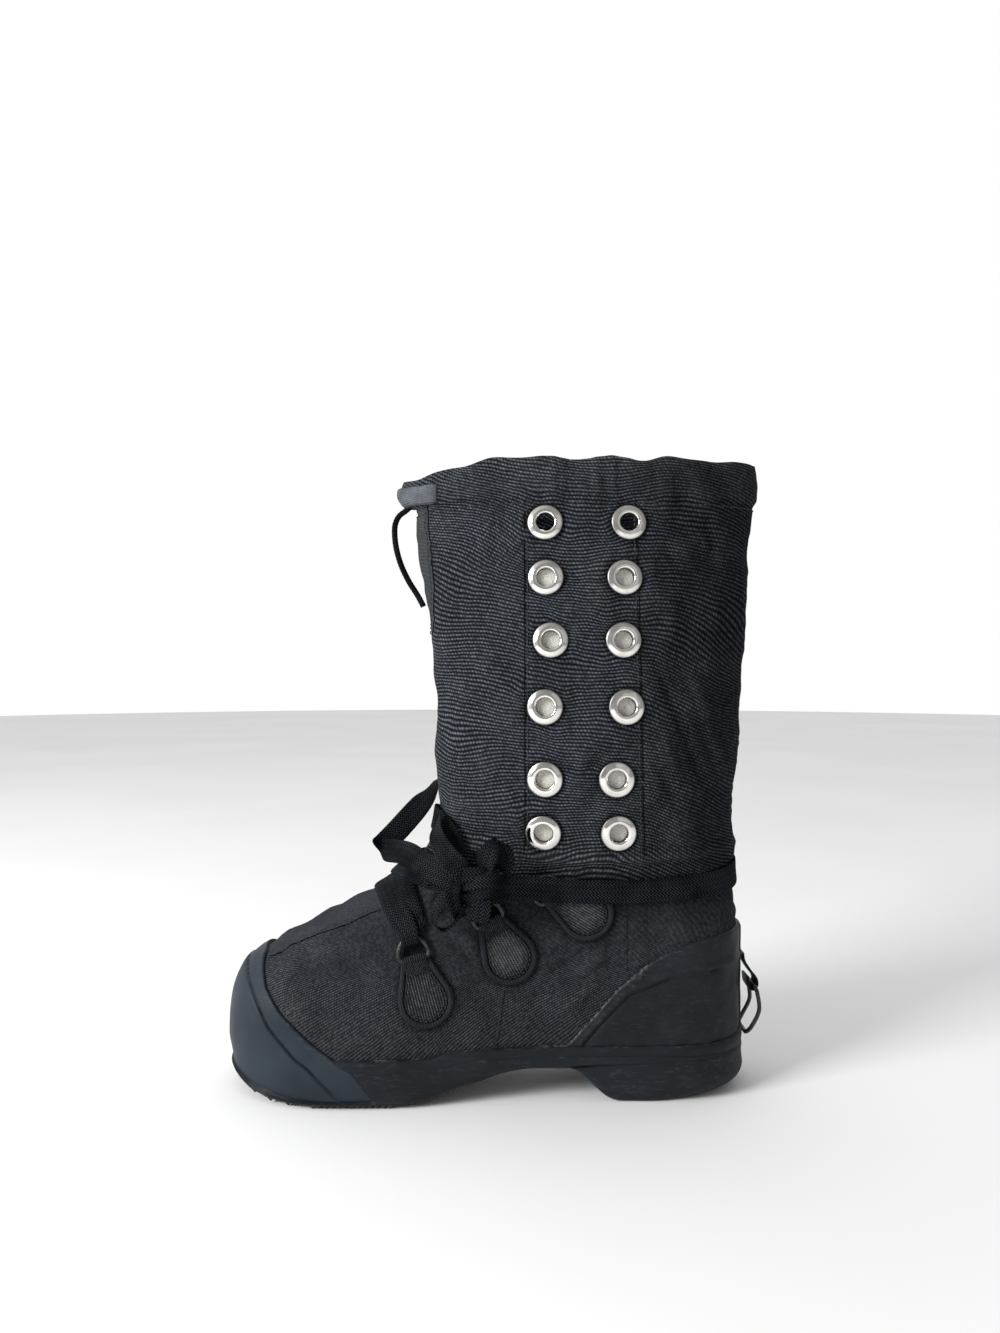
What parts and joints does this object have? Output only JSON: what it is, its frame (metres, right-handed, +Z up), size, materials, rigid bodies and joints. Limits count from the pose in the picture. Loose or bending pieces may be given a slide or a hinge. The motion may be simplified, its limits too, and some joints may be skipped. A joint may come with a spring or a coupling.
{
  "type": "cold-weather canvas combat boot",
  "caption": "Tall canvas boot on a moulded rubber bottom with toe cap, heel counter, vent grommets, tied ankle lace, heel bail and open collar.",
  "frame": {"origin": "middle of the flat under the heel, on the floor", "axes": "+Z up the shaft, -Y towards the toe, +X the outer side of the left foot"},
  "size_m": [0.1129, 0.3208, 0.37],
  "materials": {
    "canvas": "matte twill",
    "cap_rubber": "satin, scuffed",
    "sole_rubber": "matte, scuffed",
    "felt": "felted",
    "grommet": "nickelled, lightly worn",
    "wire": "blackened, rubbed at the bends",
    "tape": "flat woven tape",
    "cord": "braided",
    "binding": "woven tape"
  },
  "bodies": {
    "boot": {"upper": "canvas", "outsole": "sole_rubber", "heel_block": "sole_rubber", "insole": "felt", "toe_cap": "cap_rubber", "side_band": "cap_rubber", "heel_counter": "cap_rubber", "collar_patch": "binding", "heel_chape": "cap_rubber", "eyelet_left_01": "grommet", "eyelet_left_02": "grommet", "eyelet_left_03": "grommet", "eyelet_left_04": "grommet", "eyelet_left_05": "grommet", "eyelet_left_06": "grommet", "eyelet_left_07": "grommet", "eyelet_left_08": "grommet", "eyelet_left_09": "grommet", "eyelet_left_10": "grommet", "eyelet_left_11": "grommet", "eyelet_left_12": "grommet", "eyelet_right_01": "grommet", "eyelet_right_02": "grommet", "eyelet_right_03": "grommet", "eyelet_right_04": "grommet", "eyelet_right_05": "grommet", "eyelet_right_06": "grommet", "eyelet_right_07": "grommet", "eyelet_right_08": "grommet", "eyelet_right_09": "grommet", "eyelet_right_10": "grommet", "eyelet_right_11": "grommet", "eyelet_right_12": "grommet", "lace_tab_left_1": "canvas", "lace_tab_left_2": "canvas", "lace_tab_left_3": "canvas", "lace_tab_right_1": "canvas", "lace_tab_right_2": "canvas", "lace_tab_right_3": "canvas", "lace_ring_left_1": "wire", "lace_ring_left_2": "wire", "lace_ring_left_3": "wire", "lace_ring_right_1": "wire", "lace_ring_right_2": "wire", "lace_ring_right_3": "wire", "lace_crossings": "tape", "lace_wrap": "tape", "lace_slack": "tape", "lace_peak_loop": "tape", "lace_hanging_loop": "tape", "lace_tail": "tape", "lace_knot": "tape", "drawcord": "cord"},
    "heel_bail": {"heel_bail": "wire"}
  },
  "joints": [
    {"name": "heel_bail_hinge", "type": "hinge", "parent": "boot", "child": "heel_bail", "pos_m": [0, 0.0526, 0.0572], "axis": [1, 0, 0], "range_deg": [0, 190]}
  ]
}
